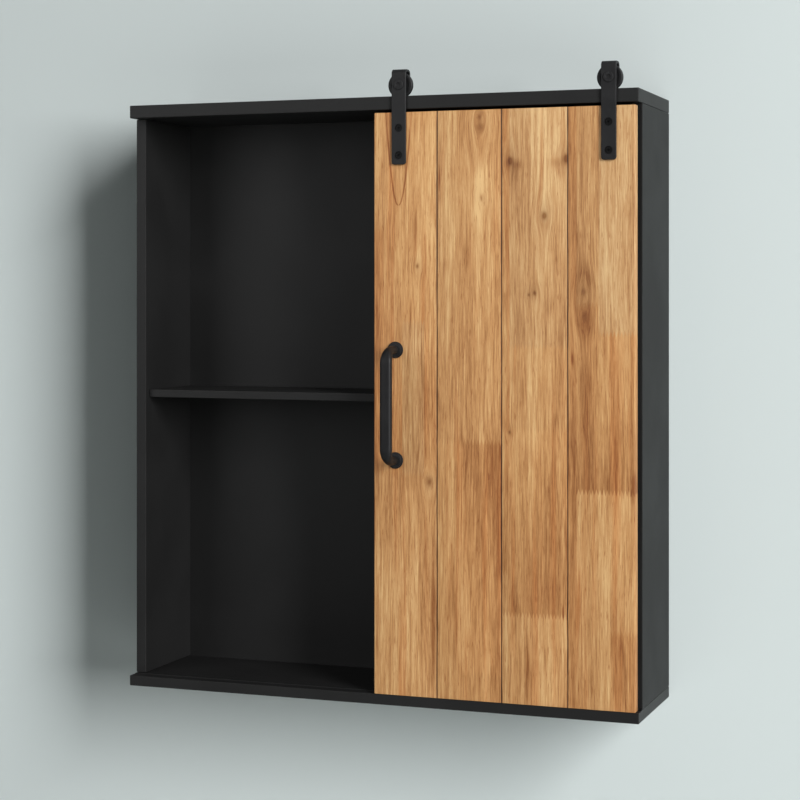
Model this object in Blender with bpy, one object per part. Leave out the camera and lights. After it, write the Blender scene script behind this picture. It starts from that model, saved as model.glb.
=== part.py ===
"""Hanging wall cabinet with a sliding barn door of four planks.

Metres, +Z up. The cabinet's front looks along -Y and its back is the plane Y = 0.
The origin is the middle of the hanging rail's back face, where the wall holds it.
"""

import math

import bmesh
import bpy
from mathutils import Vector

# ---------------------------------------------------------------- driving sizes
WIDTH = 0.614
HEIGHT = 0.686
DEPTH = 0.153
TOP_THICKNESS = 0.015
BOARD = 0.0125                 # sides, bottom, divider and hanging rail
SHELF_THICKNESS = 0.009
BACK_THICKNESS = 0.003
SIDE_SETBACK = 0.0175          # the door runs in front of the sides
SHELF_SETBACK = 0.026
BACK_SETBACK = 0.137           # from the front plane to the back panel's face
REBATE_WIDTH = 0.0145          # low step along the front of the bottom panel
REBATE_DEPTH = 0.0007
GAP = 0.0003                   # between faces that touch
PAST = 0.01                    # how far a cutter runs past a face
EDGE_ROUND = 0.0007
PANEL_ROUND = 0.0009           # top and bottom panels
SHELF_ROUND = 0.0006
HOUSING_DEPTH = 0.006          # grooves that hold the back panel
SHELF_TOP = 0.3493             # above the cabinet's underside
RAIL_HEIGHT = 0.0594

DOOR_WIDTH = 0.301
DOOR_THICKNESS = 0.012
DOOR_PROUD = 0.0006            # door face in front of the panels' front edges
DOOR_SIDE_MARGIN = 0.0037
DOOR_FOOT = 0.0122             # above the cabinet's underside
DOOR_HEAD = 0.6676
PLANKS = 4
TONGUE_LENGTH = 0.004
TONGUE_THICKNESS = 0.0036
PLANK_CHAMFER = 0.0006
DOOR_CORNER = 0.0016

STRAP_WIDTH = 0.0168
STRAP_THICKNESS = 0.003
STRAP_GAP = 0.0105             # between the strap's two legs
STRAP_BEND = 0.0022            # inside radius of its two bends
STRAP_INSETS = {"left": 0.0306, "right": 0.0289}   # strap centres from the door's edges
STRAP_TOP = 0.0300             # above the top panel
STRAP_FOOT = 0.0773            # below the top panel's upper face
STRAP_SCREW_DROPS = (0.0363, 0.0669)
STRAP_TAIL = 0.0098            # rear leg below the roller's centre

ROLLER_RADIUS = 0.0144
ROLLER_THICKNESS = 0.006
ROLLER_HEIGHT = 0.0123         # roller centre above the top panel
ROLLER_SETBACK = 0.0020        # roller face behind the strap's front leg
ROLLER_SHOULDER = 0.0015
ROLLER_DISH = 0.0005           # shallow ring turned into the roller's front face
TRACK_DEPTH = 0.0024
TRACK_SPARE = 0.002            # track beyond the roller at each end
SPACER_RADIUS = 0.0055
AXLE_RADIUS = 0.003
AXLE_HEAD_RADIUS = 0.0058
AXLE_HEAD_CROWN = 0.0012
AXLE_HEAD_RIM = 0.0004
AXLE_SOCKET = 0.0021           # corner radius of the hexagon
AXLE_CHAMFER = 0.0004
NUT_RADIUS = 0.0056
NUT_THICKNESS = 0.0042

HANDLE_SPACING = 0.1242
HANDLE_INSET = 0.0261
HANDLE_REACH = 0.0312          # bar axis in front of the door
NECK_RADIUS = 0.0046
GRIP_WIDTH = 0.0138
GRIP_DEPTH = 0.0088
GRIP_SQUARENESS = 0.8          # 0 gives an elliptic grip
HANDLE_BEND = 0.0150
HANDLE_HEIGHT = 0.3384         # middle of the handle above the underside
ROSETTE_RADIUS = 0.0093
ROSETTE_THICKNESS = 0.0036
ROSETTE_BASE = 0.0019          # height of its lower step

PIN_RADIUS = 0.0025
PIN_DEPTH = 0.0053
PIN_REACH = 0.0070
PIN_SEAT = 0.0034              # pins let into notches in the shelf's underside
PIN_FRONT_SETBACK = 0.045      # behind the shelf's front edge
PIN_REAR_SETBACK = 0.022       # in front of the back panel
PIN_CHAMFER = 0.0005
CARCASS_SCREW_LENGTH = 0.040
CARCASS_SCREW_SETBACKS = {"front": 0.045, "rear": 0.115, "divider": 0.080}   # behind the front plane
KEYHOLE_SPACING = 0.4064

# ---------------------------------------------------------------- places from the sizes
Z_TOP_UNDER = RAIL_HEIGHT / 2 + GAP
Z_TOP = Z_TOP_UNDER + TOP_THICKNESS
Z_BASE = Z_TOP - HEIGHT
Z_FLOOR = Z_BASE + BOARD
FRONT = -DEPTH
X_RIGHT = WIDTH / 2
X_INNER = X_RIGHT - BOARD
BACK_FACE = FRONT + BACK_SETBACK
DOOR_FRONT = FRONT - DOOR_PROUD
DOOR_REAR = DOOR_FRONT + DOOR_THICKNESS
DOOR_RIGHT = X_RIGHT - DOOR_SIDE_MARGIN
DOOR_LEFT = DOOR_RIGHT - DOOR_WIDTH
DOOR_TRAVEL = DOOR_LEFT + X_RIGHT - DOOR_SIDE_MARGIN
STRAP_X = {"left": DOOR_LEFT + STRAP_INSETS["left"], "right": DOOR_RIGHT - STRAP_INSETS["right"]}
ROLLER_Z = Z_TOP + ROLLER_HEIGHT
ROLLER_FRONT = DOOR_FRONT + ROLLER_SETBACK
ROLLER_Y = ROLLER_FRONT + ROLLER_THICKNESS / 2
SHELF_UNDER = Z_BASE + SHELF_TOP - SHELF_THICKNESS
HANDLE_X = DOOR_LEFT + HANDLE_INSET
HANDLE_Z = Z_BASE + HANDLE_HEIGHT

X_AXIS = Vector((1, 0, 0))
Y_AXIS = Vector((0, 1, 0))
Z_AXIS = Vector((0, 0, 1))


# ---------------------------------------------------------------- small tools
def clear_scene():
    for old in list(bpy.data.objects):
        bpy.data.objects.remove(old, do_unlink=True)


def material(name, colour, roughness, metallic=0.0):
    made = bpy.data.materials.new(name)
    made.use_nodes = True
    shader = made.node_tree.nodes["Principled BSDF"]
    shader.inputs["Base Color"].default_value = (*colour, 1.0)
    shader.inputs["Roughness"].default_value = roughness
    shader.inputs["Metallic"].default_value = metallic
    return made


def link(name, mesh, look=None, place=(0, 0, 0), parent=None):
    """Put a mesh in the scene; place is a world position."""
    obj = bpy.data.objects.new(name, mesh)
    bpy.context.scene.collection.objects.link(obj)
    obj.location = Vector(place)
    if parent is not None:
        obj.parent = parent
        obj.location = Vector(place) - parent.location
    if look is not None and not mesh.materials:
        mesh.materials.append(look)
    return obj


def mesh_from(bm, name, smooth=False):
    bmesh.ops.recalc_face_normals(bm, faces=bm.faces)
    mesh = bpy.data.meshes.new(name)
    bm.to_mesh(mesh)
    bm.free()
    if smooth:
        mesh.shade_smooth()
        mesh.set_sharp_from_angle(angle=math.radians(35))
    return mesh


def box_mesh(name, low, high):
    """A box between two world corners."""
    low = Vector(low)
    high = Vector(high)
    bm = bmesh.new()
    bmesh.ops.create_cube(bm, size=1.0)
    bmesh.ops.scale(bm, vec=high - low, verts=bm.verts)
    bmesh.ops.translate(bm, vec=(low + high) / 2, verts=bm.verts)
    return mesh_from(bm, name)


def extruded(name, outline, direction):
    """A closed outline of 3-D points, pushed along direction."""
    bm = bmesh.new()
    corners = [bm.verts.new(point) for point in outline]
    face = bm.faces.new(corners)
    pushed = bmesh.ops.extrude_face_region(bm, geom=[face])
    moved = [item for item in pushed["geom"] if isinstance(item, bmesh.types.BMVert)]
    bmesh.ops.translate(bm, vec=Vector(direction), verts=moved)
    return mesh_from(bm, name)


def turned(name, profile, steps=24, axis=Y_AXIS, closed=False):
    """Spin (radius, height) points about axis; a closed profile leaves a bore."""
    bm = bmesh.new()
    turn = Z_AXIS.rotation_difference(axis).to_matrix()
    points = [bm.verts.new(turn @ Vector((radius, 0, height))) for radius, height in profile]
    edges = [bm.edges.new(pair) for pair in zip(points, points[1:])]
    if closed:
        edges.append(bm.edges.new((points[-1], points[0])))
    bmesh.ops.spin(bm, geom=points + edges, cent=(0, 0, 0), axis=axis, angle=2 * math.pi,
                   steps=steps, use_merge=True)
    bmesh.ops.remove_doubles(bm, verts=bm.verts, dist=1e-6)
    return mesh_from(bm, name, smooth=True)


def rod(radius, low, high, chamfer=0.0):
    """Profile of a plain round bar between two heights."""
    if chamfer == 0.0:
        return [(0, low), (radius, low), (radius, high), (0, high)]
    inner = radius - chamfer
    return [(0, low), (inner, low), (radius, low + chamfer), (radius, high - chamfer),
            (inner, high), (0, high)]


def ring(inner, outer, low, high):
    return [(inner, low), (outer, low), (outer, high), (inner, high)]


def prism_mesh(name, sides, radius, low, high, axis=Y_AXIS):
    """A regular prism about axis, such as a nut or a hexagon socket."""
    turn = Z_AXIS.rotation_difference(axis).to_matrix()
    outline = []
    for number in range(sides):
        angle = 2 * math.pi * number / sides
        outline.append(turn @ Vector((radius * math.cos(angle), radius * math.sin(angle), low)))
    return extruded(name, outline, turn @ Vector((0, 0, high - low)))


def bevelled(obj, width, segments=1):
    bevel = obj.modifiers.new("edges", "BEVEL")
    bevel.width = width
    bevel.segments = segments
    bevel.limit_method = "ANGLE"
    bevel.angle_limit = math.radians(40)
    return obj


def cutter(mesh, place=(0, 0, 0)):
    tool = link("cutter_" + mesh.name, mesh, place=place)
    tool.hide_render = True
    tool.display_type = "WIRE"
    return tool


def cut(obj, tool):
    boolean = obj.modifiers.new("cut", "BOOLEAN")
    boolean.operation = "DIFFERENCE"
    boolean.solver = "EXACT"
    boolean.object = tool


def applied_mesh(obj, name):
    """The object's mesh with its modifiers, to be shared by copies."""
    bpy.context.view_layer.update()
    graph = bpy.context.evaluated_depsgraph_get()
    mesh = bpy.data.meshes.new_from_object(obj.evaluated_get(graph))
    mesh.name = name
    tools = [step.object for step in obj.modifiers if step.type == "BOOLEAN"]
    for extra in tools + [obj]:
        bpy.data.objects.remove(extra, do_unlink=True)
    return mesh


def socket_cut(mesh, radius, low, high, axis):
    """Sink a hexagon socket into a screw head, about the same axis."""
    screw = link("raw_" + mesh.name, mesh)
    cut(screw, cutter(prism_mesh(mesh.name + "_socket", 6, radius, low, high, axis)))
    return applied_mesh(screw, mesh.name)


def arc(centre, radius, start, end, steps):
    """Points on an arc in a plane, angles in degrees."""
    points = []
    for number in range(steps + 1):
        angle = math.radians(start + (end - start) * number / steps)
        points.append((centre[0] + radius * math.cos(angle), centre[1] + radius * math.sin(angle)))
    return points


def stadium(x_low, x_high, y_low, y_high, steps=8):
    """A slot's outline with round ends, long in X."""
    radius = (y_high - y_low) / 2
    middle = (y_high + y_low) / 2
    right = arc((x_high - radius, middle), radius, -90, 90, steps)
    left = arc((x_low + radius, middle), radius, 90, 270, steps)
    return right + left


SCREW_RIM = 0.0003
SINK_TOP = 0.002               # how far a countersink cutter stands above the screw's face


def countersunk(head_radius, head_depth, shank_radius, length, tip):
    """Flat-headed screw profile with its head's face at height 0 and its tip below."""
    return [(0, 0), (head_radius, 0), (head_radius, -SCREW_RIM), (shank_radius, -head_depth),
            (shank_radius, tip - length), (0, -length)]


def countersink(head_radius, head_depth, shank_radius, length):
    """The hole for such a screw, with clearance all round."""
    return [(0, SINK_TOP), (head_radius + GAP, SINK_TOP), (head_radius + GAP, -SCREW_RIM - GAP),
            (shank_radius + GAP, -head_depth - GAP), (shank_radius + GAP, -length), (0, -length)]


# ---------------------------------------------------------------- carcass
def carcass_screw_places():
    """Screw centre lines: two for each side panel and one for the divider."""
    side_x = X_RIGHT - BOARD / 2
    for side, x in (("left", -side_x), ("right", side_x)):
        for row in ("front", "rear"):
            yield side + "_" + row, x, FRONT + CARCASS_SCREW_SETBACKS[row]
    yield "divider", 0.0, FRONT + CARCASS_SCREW_SETBACKS["divider"]


CARCASS_HEAD = dict(head_radius=0.0035, head_depth=0.0030, shank_radius=0.0023)
HEAD_SINK = 0.0004
CARCASS_HOLE_LENGTH = 0.030
CARCASS_SOCKET = 0.0017        # corner radius of the hexagon
CARCASS_SOCKET_DEPTH = 0.0022


def panel(name, low, high, look, edge=EDGE_ROUND):
    obj = link(name, box_mesh(name, low, high), look)
    return bevelled(obj, edge, 2)


def cut_back_housing_across(obj, z_low, z_high):
    """Stopped groove along X for an edge of the back panel."""
    reach = X_INNER + HOUSING_DEPTH
    mesh = box_mesh(obj.name + "_housing", (-reach, BACK_FACE - GAP, z_low),
                    (reach, BACK_FACE + BACK_THICKNESS + GAP, z_high))
    cut(obj, cutter(mesh))


def cut_panel_screw_holes(obj, face_z, axis):
    hole = turned(obj.name + "_hole", countersink(**CARCASS_HEAD, length=CARCASS_HOLE_LENGTH), 12, axis)
    for label, x, y in carcass_screw_places():
        cut(obj, cutter(hole, (x, y, face_z - HEAD_SINK * axis.z)))


def make_top_panel(paint):
    obj = panel("top_panel", (-X_RIGHT, FRONT, Z_TOP_UNDER), (X_RIGHT, 0, Z_TOP), paint, PANEL_ROUND)
    chord = math.sqrt(ROLLER_RADIUS ** 2 - ROLLER_HEIGHT ** 2)
    left = STRAP_X["left"] - DOOR_TRAVEL - chord - TRACK_SPARE
    right = STRAP_X["right"] + chord + TRACK_SPARE
    outline = stadium(left, right, ROLLER_FRONT - GAP, ROLLER_FRONT + ROLLER_THICKNESS + GAP)
    points = [(x, y, Z_TOP - TRACK_DEPTH) for x, y in outline]
    cut(obj, cutter(extruded("roller_track", points, (0, 0, PAST))))
    cut_back_housing_across(obj, Z_TOP_UNDER - PAST, Z_TOP_UNDER + HOUSING_DEPTH)
    cut_panel_screw_holes(obj, Z_TOP, Z_AXIS)


def make_bottom_panel(paint):
    obj = panel("bottom_panel", (-X_RIGHT, FRONT, Z_BASE), (X_RIGHT, 0, Z_FLOOR), paint, PANEL_ROUND)
    step = box_mesh("front_step", (-X_RIGHT - PAST, FRONT - PAST, Z_FLOOR - REBATE_DEPTH),
                    (X_RIGHT + PAST, FRONT + REBATE_WIDTH, Z_FLOOR + PAST))
    cut(obj, cutter(step))
    cut_back_housing_across(obj, Z_FLOOR - HOUSING_DEPTH, Z_FLOOR + PAST)
    cut_panel_screw_holes(obj, Z_BASE, -Z_AXIS)


def cut_pilot_holes(obj, labels):
    """Holes in a board's ends for the screws that come through the top and bottom."""
    depth = CARCASS_SCREW_LENGTH - BOARD + SINK_TOP
    hole = turned(obj.name + "_pilot", rod(CARCASS_HEAD["shank_radius"] + GAP, -depth, depth), 10, Z_AXIS)
    for label, x, y in carcass_screw_places():
        if label in labels:
            cut(obj, cutter(hole, (x, y, Z_FLOOR)))
            cut(obj, cutter(hole, (x, y, Z_TOP_UNDER)))


def pin_depths():
    return (FRONT + SHELF_SETBACK + PIN_FRONT_SETBACK, BACK_FACE - PIN_REAR_SETBACK)


def pin_height():
    return SHELF_UNDER + PIN_SEAT - PIN_RADIUS


def cut_pin_holes(obj, face_x, inward):
    """Blind holes for two shelf pins; inward points from the face into the board."""
    hole = turned(obj.name + "_pin_hole", rod(PIN_RADIUS + GAP, -PAST / 5, PIN_DEPTH + GAP), 12, inward)
    for y in pin_depths():
        cut(obj, cutter(hole, (face_x, y, pin_height())))


def make_side_panel(side, sign, paint):
    inner = sign * X_INNER
    low = (min(inner, sign * X_RIGHT), FRONT + SIDE_SETBACK, Z_FLOOR + GAP)
    high = (max(inner, sign * X_RIGHT), 0, Z_TOP_UNDER - GAP)
    obj = panel("side_panel_" + side, low, high, paint)
    ends = sorted((inner - sign * PAST, inner + sign * HOUSING_DEPTH))
    housing = box_mesh(side + "_housing", (ends[0], BACK_FACE - GAP, Z_FLOOR - PAST),
                       (ends[1], BACK_FACE + BACK_THICKNESS + GAP, Z_TOP_UNDER + PAST))
    cut(obj, cutter(housing))
    cut_pilot_holes(obj, (side + "_front", side + "_rear"))
    cut_pin_holes(obj, inner, sign * X_AXIS)


def make_centre_divider(paint):
    obj = panel("centre_divider", (-BOARD / 2, FRONT + SHELF_SETBACK, Z_FLOOR + GAP),
                (BOARD / 2, BACK_FACE - GAP, Z_TOP_UNDER - GAP), paint)
    cut_pilot_holes(obj, ("divider",))
    cut_pin_holes(obj, -BOARD / 2, X_AXIS)
    cut_pin_holes(obj, BOARD / 2, -X_AXIS)


def make_back_panel(paint):
    reach = HOUSING_DEPTH - GAP
    low = (-X_INNER - reach, BACK_FACE, Z_FLOOR - reach)
    high = (X_INNER + reach, BACK_FACE + BACK_THICKNESS, Z_TOP_UNDER + reach)
    link("back_panel", box_mesh("back_panel", low, high), paint)


def make_shelf(side, sign, paint):
    ends = sorted((sign * (BOARD / 2 + 2 * GAP), sign * (X_INNER - 2 * GAP)))
    obj = panel("shelf_" + side, (ends[0], FRONT + SHELF_SETBACK, SHELF_UNDER),
                (ends[1], BACK_FACE - 2 * GAP, SHELF_UNDER + SHELF_THICKNESS), paint, SHELF_ROUND)
    half = PIN_RADIUS + GAP
    deep = PIN_REACH + GAP
    for end in ends:
        for y in pin_depths():
            notch = box_mesh(obj.name + "_notch", (end - deep, y - half, SHELF_UNDER - PAST),
                             (end + deep, y + half, SHELF_UNDER + PIN_SEAT + GAP))
            cut(obj, cutter(notch))


def make_shelf_pins(side, sign, steel):
    mesh = turned("shelf_pin_" + side, rod(PIN_RADIUS, -PIN_REACH, PIN_DEPTH, PIN_CHAMFER), 12, X_AXIS)
    mesh.materials.append(steel)
    outer = sign * X_INNER
    inner = sign * BOARD / 2
    front, rear = pin_depths()
    for end, x, turn in (("outer", outer, sign), ("inner", inner, -sign)):
        for row, y in (("front", front), ("rear", rear)):
            pin = link("shelf_pin_%s_%s_%s" % (side, end, row), mesh, place=(x, y, pin_height()))
            pin.rotation_euler.z = 0.0 if turn > 0 else math.pi


def make_carcass_screws(steel):
    profile = countersunk(**CARCASS_HEAD, length=CARCASS_SCREW_LENGTH, tip=0.004)
    mesh = turned("carcass_screw", profile, 12, Z_AXIS)
    mesh = socket_cut(mesh, CARCASS_SOCKET, -CARCASS_SOCKET_DEPTH, PAST, Z_AXIS)
    mesh.materials.clear()
    mesh.materials.append(steel)
    for label, x, y in carcass_screw_places():
        link("screw_top_" + label, mesh, place=(x, y, Z_TOP - HEAD_SINK))
        under = link("screw_bottom_" + label, mesh, place=(x, y, Z_BASE + HEAD_SINK))
        under.rotation_euler.x = math.pi


# ---------------------------------------------------------------- hanging rail
PLATE_WIDTH = 0.016
PLATE_HEIGHT = 0.046
PLATE_THICKNESS = 0.0020
PLATE_SCREW_RISE = 0.0175
PLATE_HEAD = dict(head_radius=0.0028, head_depth=0.0015, shank_radius=0.0014)
PLATE_SCREW_LENGTH = 0.009
PLATE_SOCKET = 0.0012          # corner radius of the hexagon
PLATE_SOCKET_DEPTH = 0.0009
PLATE_PILOT_DEPTH = 0.0105
WELL_HALF_WIDTH = 0.0055       # room in the rail for a wall screw's head
WELL_DEPTH = 0.0085
WELL_LOW = -0.0115
WELL_HIGH = 0.0105
EYE_RADIUS = 0.0046            # the keyhole's round end
EYE_HEIGHT = -0.0055
THROAT_RADIUS = 0.0024
THROAT_HEIGHT = 0.0061


def keyhole_places():
    for side, sign in (("left", -1), ("right", 1)):
        yield side, sign * KEYHOLE_SPACING / 2


def make_hanging_rail(paint):
    reach = X_INNER - GAP
    low = (-reach, -BOARD, -RAIL_HEIGHT / 2)
    obj = panel("hanging_rail", low, (reach, 0, RAIL_HEIGHT / 2), paint)
    across = PLATE_WIDTH / 2 + GAP
    along = PLATE_HEIGHT / 2 + GAP
    for side, x in keyhole_places():
        pocket = box_mesh(side + "_pocket", (x - across, -PLATE_THICKNESS - 2 * GAP, -along),
                          (x + across, PAST, along))
        cut(obj, cutter(pocket))
        well = box_mesh(side + "_well", (x - WELL_HALF_WIDTH, -WELL_DEPTH, WELL_LOW),
                        (x + WELL_HALF_WIDTH, PAST, WELL_HIGH))
        cut(obj, cutter(well))
        pilot = turned(side + "_pilot", rod(PLATE_HEAD["shank_radius"] + GAP, -PLATE_PILOT_DEPTH, PAST), 8)
        for sign in (-1, 1):
            cut(obj, cutter(pilot, (x, 0, sign * PLATE_SCREW_RISE)))


def make_keyhole_plates(steel):
    """Steel plates let into the rail; a wall screw's head goes in low and slides up."""
    half = PLATE_WIDTH / 2
    rise = PLATE_HEIGHT / 2
    raw = link("raw_plate", box_mesh("keyhole_plate", (-half, -PLATE_THICKNESS, -rise), (half, 0, rise)))
    eye = arc((0, EYE_HEIGHT), EYE_RADIUS, 125, 415, 20)
    throat = arc((0, THROAT_HEIGHT), THROAT_RADIUS, 0, 180, 8)
    points = [(across, -PAST, along) for across, along in eye + throat]
    cut(raw, cutter(extruded("keyhole", points, (0, 2 * PAST, 0))))
    hole = turned("plate_hole", countersink(**PLATE_HEAD, length=PAST), 12)
    for sign in (-1, 1):
        cut(raw, cutter(hole, (0, 0, sign * PLATE_SCREW_RISE)))
    plate = applied_mesh(raw, "keyhole_plate")
    plate.materials.clear()
    plate.materials.append(steel)
    for side, x in keyhole_places():
        link("keyhole_plate_" + side, plate, place=(x, -GAP, 0))


def make_plate_screws(steel):
    profile = countersunk(**PLATE_HEAD, length=PLATE_SCREW_LENGTH, tip=0.002)
    mesh = turned("plate_screw", profile, 10)
    mesh = socket_cut(mesh, PLATE_SOCKET, -PLATE_SOCKET_DEPTH, PAST, Y_AXIS)
    mesh.materials.clear()
    mesh.materials.append(steel)
    for side, x in keyhole_places():
        for row, sign in (("upper", 1), ("lower", -1)):
            name = "plate_screw_%s_%s" % (side, row)
            link(name, mesh, place=(x, -2 * GAP, sign * PLATE_SCREW_RISE))


# ---------------------------------------------------------------- sliding door
STRAP_HEAD = dict(head_radius=0.0042, head_depth=0.0018, shank_radius=0.0019)
STRAP_SCREW_LENGTH = 0.0115
STRAP_HEAD_SINK = 0.0010       # the heads sit below the strap's face
STRAP_SOCKET = 0.0017          # corner radius of the hexagon
STRAP_SOCKET_DEPTH = 0.0014
STRAP_CORNER = 0.0030
STRAP_EDGE = 0.0005
STRAP_FRONT = DOOR_FRONT - STRAP_THICKNESS
STRAP_REAR = DOOR_FRONT + STRAP_GAP + STRAP_THICKNESS
HANDLE_SCREW_RADIUS = 0.0020
HANDLE_SCREW_GRIP = 0.009      # screw length inside the handle's foot
HANDLE_HEAD_RADIUS = 0.0040
HANDLE_HEAD_HEIGHT = 0.0023


def plank_outline(number, left, right):
    """Plan view of one plank: tongue on its right, groove on its left."""
    chamfer = PLANK_CHAMFER
    middle = (DOOR_FRONT + DOOR_REAR) / 2
    half = TONGUE_THICKNESS / 2
    first = number == 0
    last = number == PLANKS - 1
    outline = []
    if first:
        corner = DOOR_CORNER
        outline += arc((left + corner, DOOR_REAR - corner), corner, 90, 180, 3)
        outline += arc((left + corner, DOOR_FRONT + corner), corner, 180, 270, 3)
    else:
        deep = TONGUE_LENGTH + GAP
        outline += [(left + chamfer, DOOR_REAR), (left, DOOR_REAR - chamfer)]
        outline += [(left, middle + half + GAP), (left + deep, middle + half + GAP)]
        outline += [(left + deep, middle - half - GAP), (left, middle - half - GAP)]
        outline += [(left, DOOR_FRONT + chamfer), (left + chamfer, DOOR_FRONT)]
    if last:
        corner = DOOR_CORNER
        outline += arc((right - corner, DOOR_FRONT + corner), corner, 270, 360, 3)
        outline += arc((right - corner, DOOR_REAR - corner), corner, 0, 90, 3)
    else:
        outline += [(right - chamfer, DOOR_FRONT), (right, DOOR_FRONT + chamfer)]
        outline += [(right, middle - half), (right + TONGUE_LENGTH, middle - half)]
        outline += [(right + TONGUE_LENGTH, middle + half), (right, middle + half)]
        outline += [(right, DOOR_REAR - chamfer), (right - chamfer, DOOR_REAR)]
    return outline


def strap_screw_heights():
    return [Z_TOP - drop for drop in STRAP_SCREW_DROPS]


def cut_strap_screw_holes(obj, x):
    hole = turned(obj.name + "_hole", countersink(**STRAP_HEAD, length=STRAP_SCREW_LENGTH + GAP), 16, -Y_AXIS)
    for z in strap_screw_heights():
        cut(obj, cutter(hole, (x, STRAP_FRONT + STRAP_HEAD_SINK, z)))


def handle_heights():
    return (("upper", HANDLE_Z + HANDLE_SPACING / 2), ("lower", HANDLE_Z - HANDLE_SPACING / 2))


def make_door_planks(wood, carrier):
    pitch = DOOR_WIDTH / PLANKS
    low = Z_BASE + DOOR_FOOT
    rise = DOOR_HEAD - DOOR_FOOT
    strap_of = {0: "left", PLANKS - 1: "right"}
    for number in range(PLANKS):
        left = DOOR_LEFT + pitch * number + (GAP if number > 0 else 0)
        right = DOOR_LEFT + pitch * (number + 1)
        name = "door_plank_%d" % (number + 1)
        points = [Vector((x, y, low)) - carrier.location for x, y in plank_outline(number, left, right)]
        mesh = extruded(name, points, (0, 0, rise))
        obj = link(name, mesh, wood, place=carrier.location, parent=carrier)
        if number in strap_of:
            cut_strap_screw_holes(obj, STRAP_X[strap_of[number]])
        if number == 0:
            hole = turned("handle_bore", rod(HANDLE_SCREW_RADIUS + GAP, -2 * PAST, 2 * PAST), 12)
            for row, z in handle_heights():
                cut(obj, cutter(hole, (HANDLE_X, DOOR_FRONT, z)))


def strap_outline():
    """Side view (Y, Z) of a flat bar with two bends over the roller."""
    foot = Z_TOP - STRAP_FOOT
    tail = ROLLER_Z - STRAP_TAIL
    outer = STRAP_BEND + STRAP_THICKNESS
    inner_rear = DOOR_FRONT + STRAP_GAP
    front = (DOOR_FRONT + STRAP_BEND, Z_TOP + STRAP_TOP - outer)
    rear = (inner_rear - STRAP_BEND, Z_TOP + STRAP_TOP - outer)
    outline = [(STRAP_FRONT, foot)]
    outline += arc(front, outer, 180, 90, 6) + arc(rear, outer, 90, 0, 6)
    outline += [(STRAP_REAR, tail), (inner_rear, tail)]
    outline += arc(rear, STRAP_BEND, 0, 90, 5) + arc(front, STRAP_BEND, 90, 180, 5)
    outline += [(DOOR_FRONT, foot)]
    return outline


def rounded_corners(mesh, offset, heights):
    """Round the corners of the strap's two ends, seen from the front."""
    bm = bmesh.new()
    bm.from_mesh(mesh)
    ends = []
    for edge in bm.edges:
        first, second = edge.verts
        along_y = abs(first.co.x - second.co.x) < 1e-6 and abs(first.co.z - second.co.z) < 1e-6
        if along_y and any(abs(first.co.z - height) < 1e-6 for height in heights):
            ends.append(edge)
    bmesh.ops.bevel(bm, geom=ends, offset=offset, offset_type="OFFSET", segments=3, profile=0.5,
                    affect="EDGES")
    bm.to_mesh(mesh)
    bm.free()


def make_strap(side, metal, carrier):
    name = "hanger_strap_" + side
    x = STRAP_X[side]
    place = Vector((x, ROLLER_Y, ROLLER_Z))
    points = [Vector((x - STRAP_WIDTH / 2, y, z)) - place for y, z in strap_outline()]
    mesh = extruded(name, points, (STRAP_WIDTH, 0, 0))
    rounded_corners(mesh, STRAP_CORNER, (Z_TOP - STRAP_FOOT - place.z, -STRAP_TAIL))
    mesh.shade_smooth()
    mesh.set_sharp_from_angle(angle=math.radians(35))
    obj = link(name, mesh, metal, place=place, parent=carrier)
    bevelled(obj, STRAP_EDGE)
    cut_strap_screw_holes(obj, x)
    axle = turned(name + "_axle_hole", rod(AXLE_RADIUS + GAP, -3 * PAST, 3 * PAST), 16)
    cut(obj, cutter(axle, place))


def make_strap_screws(metal, carrier):
    profile = countersunk(**STRAP_HEAD, length=STRAP_SCREW_LENGTH, tip=0.003)
    mesh = turned("strap_screw", profile, 16, -Y_AXIS)
    mesh = socket_cut(mesh, STRAP_SOCKET, -STRAP_SOCKET_DEPTH, PAST, -Y_AXIS)
    mesh.materials.clear()
    mesh.materials.append(metal)
    for side, x in STRAP_X.items():
        for row, z in zip(("upper", "lower"), strap_screw_heights()):
            place = (x, STRAP_FRONT + STRAP_HEAD_SINK, z)
            link("strap_screw_%s_%s" % (side, row), mesh, place=place, parent=carrier)


def roller_profile():
    """Bored disc with rounded shoulders and a shallow dish in its front face."""
    half = ROLLER_THICKNESS / 2
    shoulder = ROLLER_SHOULDER
    bore = AXLE_RADIUS + GAP
    rim = ROLLER_RADIUS - shoulder
    rear = arc((rim, half - shoulder), shoulder, 90, 0, 3)
    front = arc((rim, shoulder - half), shoulder, 0, -90, 3)
    dished = ROLLER_DISH - half
    front_face = [(0.75 * ROLLER_RADIUS, -half), (0.72 * ROLLER_RADIUS, dished),
                  (0.46 * ROLLER_RADIUS, dished), (0.43 * ROLLER_RADIUS, -half), (bore, -half)]
    return [(bore, half)] + rear + front + front_face


def roller_spacer_faces():
    """Near and far faces (Y) of the spacers in front of and behind the roller."""
    rear_leg = STRAP_REAR - STRAP_THICKNESS
    rear_face = ROLLER_FRONT + ROLLER_THICKNESS
    return (("front", DOOR_FRONT + GAP, ROLLER_FRONT - GAP), ("rear", rear_face + GAP, rear_leg - GAP))


def make_rollers(nylon, metal, carrier):
    disc = turned("roller", roller_profile(), 32, closed=True)
    disc.materials.append(nylon)
    for side, x in STRAP_X.items():
        centre = Vector((x, ROLLER_Y, ROLLER_Z))
        link("roller_" + side, disc, place=centre, parent=carrier)
        for row, near, far in roller_spacer_faces():
            name = "roller_spacer_%s_%s" % (side, row)
            profile = ring(AXLE_RADIUS + GAP, SPACER_RADIUS, near - ROLLER_Y, far - ROLLER_Y)
            link(name, turned(name, profile, 16, closed=True), metal, place=centre, parent=carrier)


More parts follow.
